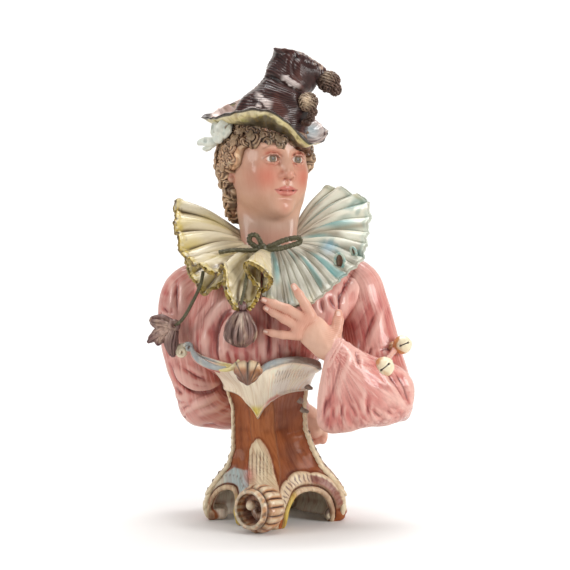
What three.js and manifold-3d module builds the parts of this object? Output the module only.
// A glazed earthenware half-figure of a jester on a scrolled rococo socle, moulded and fired in one piece.
// Millimetres, +Z up, the figure faces -Y. The origin lies under the middle of the whole figure, at floor level.

import * as THREE from "three";
import { mergeVertices } from "three/addons/utils/BufferGeometryUtils.js";
import Module from "manifold-3d";

const wasm = await Module();
wasm.setup();

// Driving dimensions
const WALL = 11; // fired clay around the hollow of the socle
const HOLLOW_TOP = 122; // how far up the socle is hollow
const ARCH_HEIGHT = 46; // the openings on each side of the front foot; the back walls reach the floor
const RIGHT_ARCH = { half: 38, shift: 5 }; // half its width, and how far it lies towards the right foot
const LEFT_ARCH = { half: 26, shift: -17 }; // the front left opening is narrower and nearer the left foot
const FOOT_REACH = 97; // from the socle's axis to the outside of a foot
const WAIST_REACH = 51; // the same at the slimmest part of the socle
const SHELL_RADIUS = 33; // snail shell that makes the front foot
const SHELL_RIBS = 10;
const COLLAR_TIP_DROP = 26; // how far the collar's front point hangs below its lower edge
const NECK_RADIUS = 36;
const RUFF_THICKNESS = 5;
const PLEAT_HEIGHT = 6.4; // crest to valley at the edge of the ruff
const PLEATS = 21;
const BRIM_THICKNESS = 5;
const FINGER_RADIUS = 5.6;
const BELL_RADIUS = 12;
const POMPOM_RADIUS = 15;
const CORD_RADIUS = 3.4;
const CURL_DEPTH = 0.09; // height of a curl against the radius of the head of hair
const HEAD_TURN = 0.49; // radians to the figure's left

const CLAY_COLOUR = 0xc9938a;

const vec = (x, y, z) => new THREE.Vector3(x, y, z);

// Joins and solids

function solidOf(source) {
  const geometry = source.index ? source.clone() : source;
  geometry.deleteAttribute("normal");
  geometry.deleteAttribute("uv");
  const merged = mergeVertices(geometry, 1e-4);
  return new wasm.Manifold(
    new wasm.Mesh({
      numProp: 3,
      vertProperties: new Float32Array(merged.attributes.position.array),
      triVerts: new Uint32Array(merged.index.array),
    }),
  );
}

// A closed solid from corner points and triangles of point numbers.
function solidFrom(points, triangles) {
  const geometry = new THREE.BufferGeometry();
  const places = points.flatMap((p) => [p.x, p.y, p.z]);
  geometry.setAttribute("position", new THREE.Float32BufferAttribute(places, 3));
  geometry.setIndex(triangles.flat());
  return solidOf(geometry);
}

function joined(solids) {
  return solids.reduce((whole, piece) => whole.add(piece));
}

// Triangles between one ring of points and the next.
function band(sides, first, next) {
  const triangles = [];
  for (let i = 0; i < sides; i++) {
    const j = (i + 1) % sides;
    triangles.push([first + i, first + j, next + j], [first + i, next + j, next + i]);
  }
  return triangles;
}

// A closed skin over rings of points; every ring has the same number of points and turns the same way.
function skin(rings) {
  const sides = rings[0].length;
  const points = rings.flat();
  const triangles = rings.slice(1).flatMap((_, r) => band(sides, r * sides, (r + 1) * sides));
  const cap = (ring, first, turned) => {
    const middle = ring.reduce((sum, p) => sum.add(p), vec(0, 0, 0)).divideScalar(sides);
    const centre = points.push(middle) - 1;
    for (let i = 0; i < sides; i++) {
      const a = first + i;
      const b = first + ((i + 1) % sides);
      triangles.push(turned ? [centre, b, a] : [centre, a, b]);
    }
  };
  cap(rings[0], 0, true);
  cap(rings.at(-1), (rings.length - 1) * sides, false);
  return solidFrom(points, triangles);
}

// A skin over rings that close on themselves, the last one meeting the first.
function ringSkin(rings) {
  const sides = rings[0].length;
  const triangles = rings.flatMap((_, r) => band(sides, r * sides, ((r + 1) % rings.length) * sides));
  return solidFrom(rings.flat(), triangles);
}

// An oval ring in the plane of two directions.
function oval(centre, across, along, halfAcross, halfAlong, sides, wave = () => 1) {
  return Array.from({ length: sides }, (_, i) => {
    const a = (2 * Math.PI * i) / sides;
    const swell = wave(a);
    return centre
      .clone()
      .addScaledVector(across, Math.cos(a) * halfAcross * swell)
      .addScaledVector(along, Math.sin(a) * halfAlong * swell);
  });
}

// A round-ended limb. Each station is [x, y, z, radius], or [x, y, z, radius, radius across the other way].
// Folds are waves that wind round it.
function limb(stations, sides = 10, folds = 0) {
  const centres = stations.map(([x, y, z]) => vec(x, y, z));
  const last = centres.length - 1;
  const rings = centres.map((centre, i) => {
    const way = centres[Math.min(i + 1, last)].clone().sub(centres[Math.max(i - 1, 0)]).normalize();
    const level = Math.abs(way.y) > 0.9 ? vec(1, 0, 0) : vec(0, 1, 0);
    const across = level.clone().cross(way).normalize();
    const along = way.clone().cross(across).normalize();
    const [, , , r, other = r] = stations[i];
    return { centre, way, across, along, r, other };
  });
  const rounded = ({ centre, way, across, along, r, other }, turn) => {
    const lift = 0.75;
    const shrink = Math.sqrt(1 - lift * lift);
    const past = centre.clone().addScaledVector(way, turn * lift * Math.min(r, other));
    return oval(past, across, along, r * shrink, other * shrink, sides);
  };
  const middle = rings.map(({ centre, across, along, r, other }, i) =>
    oval(centre, across, along, r, other, sides, (a) => 1 + folds * Math.sin(4 * a + i * 1.4)),
  );
  return skin([rounded(rings[0], -1), ...middle, rounded(rings[last], 1)]);
}

// A ball or egg, tilted by turning it about the viewing axis.
function egg([x, y, z], [rx, ry, rz], { tilt = 0, sides = 9, levels = 6 } = {}) {
  const ball = new THREE.SphereGeometry(1, sides, levels);
  ball.rotateX(Math.PI / 2);
  ball.scale(rx, ry, rz);
  ball.rotateY(tilt);
  ball.translate(x, y, z);
  return solidOf(ball);
}

const SMALL = { sides: 6, levels: 5 };
const TINY = { sides: 6, levels: 4 };

// A curve through hand-set points, closed on itself, sampled evenly.
function loopThrough(points, count) {
  const curve = new THREE.CatmullRomCurve3(points.map(([x, y, z]) => vec(x, y, z)), true, "centripetal");
  return Array.from({ length: count }, (_, i) => curve.getPoint(i / count));
}

// Socle

// The four corners of the socle carry its feet. Directions are from its axis.
const CORNERS = {
  front: vec(-0.19, -1, 0).normalize(),
  right: vec(1, -0.12, 0).normalize(),
  back: vec(0.08, 1, 0).normalize(),
  left: vec(-1, -0.04, 0).normalize(),
};

// From the floor to the collar. x is where the axis leans to, reach is the distance of the side corners and
// front that of the front and back ones, cut is half the width of a corner, drawn is how far the sides go in.
const SOCLE_LEVELS = [
  { z: 0, x: -3, reach: FOOT_REACH - 6, front: 84, cut: 15, drawn: 0.04 },
  { z: 18, x: -3, reach: FOOT_REACH, front: 90, cut: 16, drawn: 0.05 },
  { z: 42, x: -1, reach: FOOT_REACH - 4, front: 82, cut: 15, drawn: 0.07 },
  { z: 58, x: -1, reach: 82, front: 70, cut: 14, drawn: 0.08 },
  { z: 76, x: -2, reach: 66, front: 60, cut: 14, drawn: 0.09 },
  { z: 100, x: -5, reach: 56, front: 54, cut: 14, drawn: 0.1 },
  { z: 128, x: -10, reach: WAIST_REACH, front: 51, cut: 14, drawn: 0.1 },
  { z: 158, x: -11, reach: WAIST_REACH, front: 52, cut: 14, drawn: 0.08 },
  { z: 184, x: -14, reach: 56, front: 60, cut: 16, drawn: 0.05 },
  { z: 206, x: -18, reach: 62, front: 70, cut: 18, drawn: 0.03 },
];

// One level: a four-cornered outline with cut corners and sides that draw in.
function socleRing({ z, x, reach, front, cut, drawn }) {
  const SIDE_STEPS = 3;
  const spots = Object.entries(CORNERS).map(([name, way]) => {
    const out = way.clone().multiplyScalar(name === "front" || name === "back" ? front : reach);
    const side = vec(-way.y, way.x, 0).multiplyScalar(cut);
    return [out.clone().sub(side), out.clone().add(side)];
  });
  const outline = spots.flatMap(([start, end], i) => {
    const next = spots[(i + 1) % spots.length][0];
    const side = Array.from({ length: SIDE_STEPS }, (_, s) => {
      const t = s / SIDE_STEPS;
      return end.clone().lerp(next, t).multiplyScalar(1 - drawn * 4 * t * (1 - t));
    });
    return [start, start.clone().lerp(end, 0.5).multiplyScalar(1.03), ...side];
  });
  return outline.map((p) => vec(p.x + x, p.y, z));
}

// The open hollow that is seen between the feet.
function socleHollow() {
  const inside = SOCLE_LEVELS.filter(({ z }) => z < HOLLOW_TOP).map((level) => ({
    ...level,
    reach: level.reach - WALL * 1.25,
    front: level.front - WALL * 1.25,
    cut: level.cut - WALL * 0.3,
  }));
  const floor = { ...inside[0], z: -5 };
  const crown = { ...inside.at(-1), z: HOLLOW_TOP, reach: 26, front: 26, cut: 8 };
  return skin([floor, ...inside.slice(1), crown].map(socleRing));
}

// An arched tunnel from the hollow out between two corners.
function archCut(from, to, { half, shift }) {
  const NEAR = 25;
  const LENGTH = 90;
  const shape = new THREE.Shape();
  shape.moveTo(shift - half, -5);
  shape.lineTo(shift + half, -5);
  shape.lineTo(shift + half, 10);
  shape.bezierCurveTo(shift + half - 2, ARCH_HEIGHT * 0.8, shift + half * 0.55, ARCH_HEIGHT, shift, ARCH_HEIGHT);
  shape.bezierCurveTo(shift - half * 0.55, ARCH_HEIGHT, shift - half + 2, ARCH_HEIGHT * 0.8, shift - half, 10);
  const tunnel = new THREE.ExtrudeGeometry(shape, { depth: LENGTH, bevelEnabled: false, curveSegments: 4 });
  const out = from.clone().add(to).normalize();
  tunnel.applyMatrix4(new THREE.Matrix4().makeBasis(vec(-out.y, out.x, 0), vec(0, 0, 1), out));
  tunnel.translate(out.x * NEAR, out.y * NEAR, 0);
  return solidOf(tunnel);
}

// Scallop lobes that fan over an arch.
function archLobes(from, to, { half, shift }) {
  const LOBES = 4;
  const out = from.clone().add(to).normalize();
  const side = vec(-out.y, out.x, 0);
  return Array.from({ length: LOBES }, (_, i) => {
    const a = Math.PI * (0.14 + (0.72 * i) / (LOBES - 1));
    const across = shift + Math.cos(a) * (half + 3);
    const up = 14 + Math.sin(a) * 42;
    const reach = 64 - 0.32 * (up - 20);
    const at = out.clone().multiplyScalar(reach).addScaledVector(side, across);
    return egg([at.x, at.y, up], [11, 11, 10], TINY);
  });
}

// A scroll at the tip of a foot, flat where it stands.
function footScroll(way, reach) {
  const at = way.clone().multiplyScalar(reach);
  return egg([at.x, at.y, 9], [17, 17, 12]);
}

// The snail shell that is the front foot: a ribbed whorl with its mouth to the front left.
function shellFoot() {
  const WHORL = [[-26, 12], [-20, 23], [-8, 31], [6, 33], [15, 29], [21, 25], [24, 21], [14, 16]];
  const axis = vec(-0.62, -0.76, 0.06).normalize();
  const across = vec(0, 0, 1).cross(axis).normalize();
  const up = axis.clone().cross(across).normalize();
  const centre = vec(-21, -96, SHELL_RADIUS - 1);
  const ribbed = (a) => 1 + 0.05 * Math.abs(Math.cos((a * SHELL_RIBS) / 2));
  const rings = WHORL.map(([along, radius]) =>
    oval(centre.clone().addScaledVector(axis, along), across, up, radius, radius, 2 * SHELL_RIBS, ribbed),
  );
  const knob = egg([centre.x + axis.x * 16, centre.y + axis.y * 16, centre.z], [8, 9, 11], SMALL);
  return skin(rings).add(knob);
}

// The flaring collar that holds the figure, with a wavy rim, a long left wing and a pointed tip in front.
const COLLAR_RIM = [
  [-124, -38, 241], [-104, -66, 231], [-78, -88, 225], [-50, -98, 219], [-28, -101, 215],
  [-6, -101, 221], [18, -96, 227], [44, -82, 224], [60, -56, 214], [58, -22, 214],
  [48, 18, 220], [22, 50, 224], [-22, 62, 226], [-66, 54, 228], [-100, 22, 234], [-119, -8, 240],
];

function collar() {
  const SIDES = 26;
  const rim = loopThrough(COLLAR_RIM, SIDES);
  const axis = vec(-14, 0, 0);
  const level = (share, drop) =>
    rim.map((p) => {
      const out = vec(p.x - axis.x, p.y, 0);
      const around = Math.atan2(out.x, -out.y);
      const low = 172 - COLLAR_TIP_DROP * Math.exp(-(around ** 2) / 0.12);
      const q = out.clone().normalize().multiplyScalar(50).lerp(out, share ** 1.7);
      return vec(q.x + axis.x, q.y, low + (p.z - low) * share - drop);
    });
  return skin([level(0, 0), level(0.4, 0), level(0.75, 0), level(1, 4), level(0.97, -2)]);
}

// Bracket of curled leaves at the middle of the rim, and the nubs on the socle's right edge.
function rimBracket() {
  return [
    egg([-49, -103, 214], [11, 9, 13], { ...SMALL, tilt: 0.5 }),
    egg([-34, -105, 215], [11, 9, 13], { ...SMALL, tilt: -0.5 }),
    egg([-41, -103, 203], [8, 7, 11], SMALL),
    egg([42, -25, 192], [7, 9, 5], { ...SMALL, tilt: 0.3 }),
    egg([39, -22, 160], [6, 9, 5], { ...SMALL, tilt: 0.3 }),
  ];
}

// A leaf that climbs the socle above the front foot.
function frontLeaf() {
  return limb([[-22, -72, 66, 15, 10], [-20, -58, 84, 17, 9], [-19, -51, 106, 13, 7], [-19, -49, 122, 6, 5]], 8);
}

function socle() {
  const arches = [
    [CORNERS.front, CORNERS.right, RIGHT_ARCH],
    [CORNERS.left, CORNERS.front, LEFT_ARCH],
  ];
  const scrolls = [
    footScroll(CORNERS.right, FOOT_REACH - 17),
    footScroll(CORNERS.left, FOOT_REACH - 15),
    footScroll(CORNERS.back, 78),
  ];
  const lobes = arches.flatMap((arch) => archLobes(...arch));
  let body = joined([skin(SOCLE_LEVELS.map(socleRing)), ...scrolls, ...lobes]).subtract(socleHollow());
  for (const arch of arches) body = body.subtract(archCut(...arch));
  return joined([body, collar(), ...rimBracket(), frontLeaf(), shellFoot()]);
}

// Figure

// Each level of the torso: height, middle, half width and half depth.
const TORSO_LEVELS = [
  [186, -22, 20, 46, 44], [204, -24, 2, 62, 64], [222, -30, -6, 88, 82], [248, -27, -8, 98, 84],
  [278, -13, -6, 112, 86], [306, -2, -2, 122, 82], [332, 2, 0, 120, 72], [350, 2, 4, 94, 54],
  [368, -5, 6, 46, 40],
];

// Soft folds of the smock run round and down it: a few waves of unlike length.
function torso() {
  const SIDES = 22;
  const fold = (a, height) => 1 + 0.012 * Math.sin(7 * a + height / 23) + 0.01 * Math.sin(11 * a - height / 31);
  return skin(
    TORSO_LEVELS.map(([z, x, y, wide, deep]) =>
      oval(vec(x, y, z), vec(1, 0, 0), vec(0, 1, 0), wide, deep, SIDES, (a) => fold(a, z)),
    ),
  );
}

// The figure's right arm goes down and round behind the socle, the hand showing on the far side.
function rightArm() {
  const sleeve = limb(
    [
      [-106, 6, 338, 27], [-125, 8, 318, 36], [-130, 8, 290, 38], [-127, 12, 255, 38], [-121, 18, 222, 38],
      [-113, 26, 190, 36], [-104, 34, 166, 36], [-86, 46, 155, 37, 35], [-50, 62, 149, 38, 31],
      [-10, 74, 146, 36, 29], [20, 79, 144, 32, 27],
    ],
    12,
    0.03,
  );
  const palm = limb([[30, 80, 150, 17], [48, 80, 143, 22, 15], [60, 80, 128, 22, 14]], 9);
  const fingers = [0, 1, 2, 3].map((i) =>
    limb([[48 + i * 9, 80, 128 - i * 2, 7], [52 + i * 9, 82, 108 - i, 7], [54 + i * 7, 80, 98 + i * 3, 6.5]], 6),
  );
  return [sleeve, egg([-108, 38, 155], [32, 28, 32]), palm, ...fingers];
}

// Sections of the wide hanging cuff. Each stands nearly upright: middle, lean to the right, half height and
// half thickness.
const CUFF = [
  [[66, -110, 200], 0.36, 62, 10], [[74, -104, 197], 0.32, 65, 22], [[90, -94, 192], 0.2, 62, 34],
  [[114, -78, 187], 0.06, 53, 40], [[140, -58, 182], -0.06, 47, 42], [[160, -40, 178], -0.1, 39, 38],
  [[174, -28, 172], -0.1, 30, 16],
];

// The figure's left arm: upper sleeve, then the cuff that ends at the wrist on the chest.
function leftArm() {
  const upper = limb(
    [
      [100, 4, 342, 26], [113, 3, 326, 34], [120, 0, 300, 36.5], [129, -5, 265, 38], [136, -13, 225, 39.5],
      [143, -24, 196, 41.5], [148, -32, 176, 38.5],
    ],
    12,
    0.025,
  );
  const along = vec(0.76, 0.65, 0).normalize();
  const cuff = skin(
    CUFF.map(([[x, y, z], lean, half, thick], i) => {
      const up = vec(lean, 0, 1).normalize();
      const across = up.clone().cross(along).normalize();
      return oval(vec(x, y, z), across, up, thick, half, 14, (a) => 1 + 0.03 * Math.sin(4 * a + i));
    }),
  );
  return [upper, cuff, egg([168, -34, 158], [20, 16, 17])];
}

// The left hand lies spread on the chest. Each finger runs from knuckle to tip.
const FINGERS = [
  { knuckle: [45, -118, 289], middle: [33, -124, 311], tip: [22, -127, 328] },
  { knuckle: [36, -119, 285], middle: [8, -121, 301], tip: [-18, -117, 309] },
  { knuckle: [28, -118, 274], middle: [6, -119, 288], tip: [-15, -114, 298] },
  { knuckle: [25, -116, 262], middle: [3, -116, 264], tip: [-16, -110, 266] },
];

function leftHand() {
  const palm = [
    limb([[82, -100, 238, 17, 14], [70, -112, 247, 20, 15], [54, -117, 260, 26, 13], [42, -118, 272, 22, 10]], 10),
    limb([[62, -116, 262, 13, 12], [44, -118, 282, 10, 9]], 8),
  ];
  const fingers = FINGERS.map(({ knuckle, middle, tip }) =>
    limb([[...knuckle, FINGER_RADIUS + 1.2], [...middle, FINGER_RADIUS], [...tip, FINGER_RADIUS - 1.2]], 6),
  );
  const thumb = limb([[72, -112, 258, 9], [80, -110, 278, 7.5], [80, -109, 292, 6.5]], 7);
  return [...palm, thumb, ...fingers];
}

// Two round slit bells sewn to the sleeve, the upper one on a boss.
function sleeveBells() {
  return [
    egg([145, -92, 222], [BELL_RADIUS + 1, BELL_RADIUS, BELL_RADIUS + 1]),
    egg([173, -42, 245], [BELL_RADIUS, BELL_RADIUS, BELL_RADIUS - 1]),
    egg([162, -38, 242], [10, 9, 8], SMALL),
  ];
}

// Head

const FACING = vec(Math.sin(HEAD_TURN), -Math.cos(HEAD_TURN), 0);
const HEAD = vec(-16, 4, 500);

// A place on the head: so far to its left, forwards and up from the middle of the skull.
function onHead(side, forward, up) {
  const left = vec(-FACING.y, FACING.x, 0);
  return HEAD.clone().addScaledVector(left, side).addScaledVector(FACING, forward).add(vec(0, 0, up)).toArray();
}

function head() {
  const neck = [
    [-10, 8, 362, NECK_RADIUS + 3], [-11, 6, 395, NECK_RADIUS - 1], [-12, 6, 430, NECK_RADIUS - 2],
    [-14, 6, 455, NECK_RADIUS],
  ];
  return [
    egg(HEAD.toArray(), [55, 62, 70], { sides: 16, levels: 10 }),
    limb(neck, 12),
    egg(onHead(0, 19, -31), [47, 43, 49], { sides: 14, levels: 9 }), // cheeks and jaw
    egg(onHead(0, 40, -65), [22, 20, 16]), // chin
    egg(onHead(0, 40, 12), [38, 24, 12], { sides: 12, levels: 6 }), // brows
    limb([[...onHead(0, 60, 6), 5], [...onHead(0, 68, -18), 8]], 7), // nose
    egg(onHead(0, 57, -38), [16, 9, 4.5], SMALL), // lips
    egg(onHead(0, 56, -46), [14, 9, 4.5], SMALL),
    egg(onHead(-53, 0, -18), [6, 10, 15], { ...SMALL, tilt: 0.2 }), // ears
    egg(onHead(53, 0, -18), [6, 10, 15], { ...SMALL, tilt: -0.2 }),
  ];
}

// A head of curls: a cap whose surface swells and sinks in rows, sunk into the head where the face is bare.
function hair() {
  const SIDES = 26;
  const LEVELS = 12;
  const cap = new THREE.SphereGeometry(1, SIDES, LEVELS);
  cap.rotateX(Math.PI / 2);
  const place = cap.attributes.position;
  const way = vec(0, 0, 0);
  for (let i = 0; i < place.count; i++) {
    way.fromBufferAttribute(place, i);
    const around = Math.atan2(way.x, way.y);
    const height = Math.asin(THREE.MathUtils.clamp(way.z, -1, 1));
    const row = Math.round((height * LEVELS) / Math.PI);
    const underHat = THREE.MathUtils.smoothstep(way.z, 0.4, 0.55);
    const curls = CURL_DEPTH * Math.cos(11 * around + row * 2.2) * (1 - underHat);
    const below = 1 - THREE.MathUtils.smoothstep(way.z, 0.2, 0.38);
    const bare = THREE.MathUtils.smoothstep(way.y, 0.02, 0.35) * below;
    const size = (1 + curls) * (1 - 0.35 * bare) * (1 - 0.25 * underHat);
    place.setXYZ(i, ...onHead(-way.x * 71 * size, way.y * 72 * size, way.z * 78 * size));
  }
  return solidOf(cap);
}

// Hat

// The brim runs from the hat band out to a wavy edge: a tip on the left, low in front of the right temple.
const BRIM_EDGE = [
  [-105, 4, 559], [-84, -36, 554.5], [-58, -66, 558], [-28, -82, 561], [-2, -82, 555], [20, -75, 539],
  [42, -62, 518.5], [60, -42, 521.5], [69, -14, 535], [62, 24, 549], [36, 56, 572], [-10, 74, 590],
  [-56, 58, 588], [-90, 30, 568],
];
const BRIM_ROOT = [
  [-70, 6, 552], [-62, -24, 548], [-46, -44, 545], [-24, -55, 541], [-4, -57, 536], [14, -53, 527],
  [28, -44, 516], [38, -28, 520], [42, -8, 531], [36, 24, 542], [16, 48, 548], [-16, 60, 551],
  [-46, 48, 553], [-64, 26, 553],
];

function brim() {
  const SIDES = 26;
  const HAT_AXIS = -16;
  const edge = loopThrough(BRIM_EDGE, SIDES);
  const root = loopThrough(BRIM_ROOT, SIDES);
  const inner = root.map((p) => vec(HAT_AXIS + (p.x - HAT_AXIS) * 0.55, p.y * 0.55, p.z + 6));
  const lifted = (ring, lift) => ring.map((p) => p.clone().add(vec(0, 0, lift)));
  return skin([
    lifted(inner, -4), root, edge, lifted(edge, BRIM_THICKNESS), lifted(root, BRIM_THICKNESS), lifted(inner, 12),
  ]);
}

// Slices of the crown from band to tip: middle (x, z), which way the slice leans, half length and half depth.
const CROWN = [
  { x: -12, z: 534, lean: 0.05, half: 52, deep: 54 },
  { x: -8, z: 552, lean: 0, half: 55, deep: 54 },
  { x: -3, z: 568, lean: -0.08, half: 53, deep: 51 },
  { x: 0, z: 579, lean: -0.2, half: 49, deep: 47 },
  { x: 6, z: 589, lean: -0.31, half: 40.5, deep: 43 },
  { x: 13, z: 600, lean: -0.48, half: 32.5, deep: 37 },
  { x: 18, z: 611, lean: -0.58, half: 32, deep: 34 },
  { x: 22.5, z: 621.5, lean: -0.68, half: 35.5, deep: 32 },
  { x: 26.5, z: 630.5, lean: -0.8, half: 39.5, deep: 31 },
  { x: 35, z: 631, lean: -0.93, half: 33.5, deep: 28 },
  { x: 44.5, z: 628, lean: -1.1, half: 24, deep: 23 },
  { x: 54, z: 624, lean: -1.3, half: 18, deep: 18 },
  { x: 63, z: 620, lean: -1.48, half: 13.5, deep: 14 },
  { x: 71, z: 616, lean: -1.55, half: 9.5, deep: 10 },
];

function crown() {
  const SIDES = 16;
  const pleated = (a) => 1 + 0.02 * Math.sin(5 * a);
  return skin(
    CROWN.map(({ x, z, lean, half, deep }) =>
      oval(vec(x, -2, z), vec(Math.cos(lean), 0, Math.sin(lean)), vec(0, 1, 0), half, deep, SIDES, pleated),
    ),
  );
}

function hatTrimmings() {
  return [
    egg([74, -6, 608], [POMPOM_RADIUS + 2, POMPOM_RADIUS, POMPOM_RADIUS]),
    egg([43, -34, 580], [POMPOM_RADIUS - 1, POMPOM_RADIUS - 2, POMPOM_RADIUS - 2]),
    egg([-77, -24, 543], [12, 11, 13], { ...SMALL, tilt: 0.4 }), // ribbon knot under the brim's left tip
    limb([[-76, -16, 540, 8], [-90, -16, 527, 7], [-104, -16, 529, 5]], 7),
  ];
}

// Ruff

// The outer edge of the collar of pleats, from the front to the left, behind the neck and back round the right.
const RUFF_EDGE = [
  [-4, -113, 303], [-16, -116, 332], [-28, -119, 303], [-40, -121, 348], [-56, -114, 297], [-78, -106, 346],
  [-98, -88, 318], [-118, -58, 362], [-130, -32, 374], [-143, -4, 410], [-145, 12, 440], [-122, 34, 428],
  [-94, 58, 402], [-62, 78, 384], [-22, 88, 378], [22, 84, 384], [50, 68, 410], [76, 44, 462], [100, 32, 461],
  [127, 12, 449], [132, -12, 426], [129, -38, 396], [112, -66, 362], [92, -86, 334], [62, -103, 309],
  [28, -112, 300],
];
const RUFF_MIDDLE = vec(-10, 4, 388);

function ruff() {
  const edge = loopThrough(RUFF_EDGE, 2 * PLEATS);
  const root = edge.map((p) => {
    const out = vec(p.x - RUFF_MIDDLE.x, p.y - RUFF_MIDDLE.y, 0).normalize();
    return RUFF_MIDDLE.clone().addScaledVector(out, NECK_RADIUS - 3).add(vec(0, 0, out.y * 8));
  });
  // Pleats lift and sink in turn, more towards the edge.
  const level = (share, lift) =>
    edge.map((p, i) => {
      const out = p.clone().sub(root[i]).normalize();
      const sideways = vec(-out.y, out.x, 0).normalize();
      const upwards = sideways.clone().cross(out).negate().normalize();
      const pleat = (i % 2 ? 0.5 : -0.5) * PLEAT_HEIGHT * share;
      return root[i].clone().lerp(p, share).addScaledVector(upwards, pleat + lift);
    });
  const SHARES = [0, 0.5, 1];
  const top = SHARES.map((share) => level(share, RUFF_THICKNESS / 2));
  const under = SHARES.map((share) => level(share, -RUFF_THICKNESS / 2)).reverse();
  return ringSkin([...top, ...under]);
}

// Cords, bow and tassels

function bow() {
  const LOOP = [
    [-27, -40, 384, 4.5], [-36, -46, 392, 4.5], [-30, -50, 402, 4.5], [-20, -48, 396, 4.5], [-16, -46, 382, 5],
  ];
  return [
    limb(LOOP, 6),
    limb([[-14, -50, 376, 5.5], [6, -52, 380, 6], [24, -42, 390, 5], [32, -36, 388, 4]], 6),
    limb([[-16, -50, 376, 5], [-44, -66, 376, CORD_RADIUS], [-68, -70, 372, 3]], 6),
  ];
}

function middleTassel() {
  return [
    limb([[-48, -118, 302, 6], [-48, -119, 292, 7]], 7),
    limb([[-48, -112, 290, 7], [-49, -110, 278, 17, 14], [-49, -106, 262, 21, 17], [-49, -104, 250, 15, 13]], 10),
  ];
}

// A second tassel flung out sideways at the end of its cord: tufts to the left and down.
function sideTassel() {
  const CORD = [[-104, -84, 326], [-112, -76, 312], [-124, -62, 292], [-134, -54, 284]];
  return [
    limb(CORD.map((place) => [...place, CORD_RADIUS]), 6),
    egg([-139, -54, 278], [10, 10, 9], SMALL),
    limb([[-142, -52, 276, 9], [-158, -48, 278, 11, 9], [-170, -46, 279, 8, 5]], 7),
    limb([[-146, -52, 268, 10], [-162, -48, 258, 10, 8], [-174, -46, 252, 5, 4]], 7),
    limb([[-142, -54, 270, 9], [-144, -54, 250, 9, 8], [-146, -52, 236, 6, 5]], 7),
  ];
}

// The whole bust

// One solid: everything joined, pockets sealed between the parts filled, and cut flat where it stands.
function bust() {
  const whole = joined([
    socle(), torso(), ...rightArm(), ...leftArm(), ...leftHand(), ...sleeveBells(), ...head(), hair(), brim(),
    crown(), ...hatTrimmings(), ruff(), ...bow(), ...middleTassel(), ...sideTassel(),
  ]);
  const below = solidOf(new THREE.BoxGeometry(600, 600, 60).translate(0, 0, -30));
  const bodies = whole.subtract(below).decompose();
  return bodies.reduce((largest, body) => (body.volume() > largest.volume() ? body : largest));
}

// The three.js geometry of a solid, moved so that the origin is under the middle of its box.
function standing(solid) {
  const { min, max } = solid.boundingBox();
  const mesh = solid.getMesh();
  const geometry = new THREE.BufferGeometry();
  geometry.setAttribute("position", new THREE.BufferAttribute(new Float32Array(mesh.vertProperties), 3));
  geometry.setIndex(new THREE.BufferAttribute(new Uint32Array(mesh.triVerts), 1));
  geometry.translate(-(min[0] + max[0]) / 2, -(min[1] + max[1]) / 2, -min[2]);
  geometry.computeVertexNormals();
  return geometry;
}

const glazedClay = new THREE.MeshStandardMaterial({ color: CLAY_COLOUR, roughness: 0.18, metalness: 0 });
const figure = new THREE.Mesh(standing(bust()), glazedClay);
figure.name = "jester_bust";

const group = new THREE.Group();
group.add(figure);
export default group;
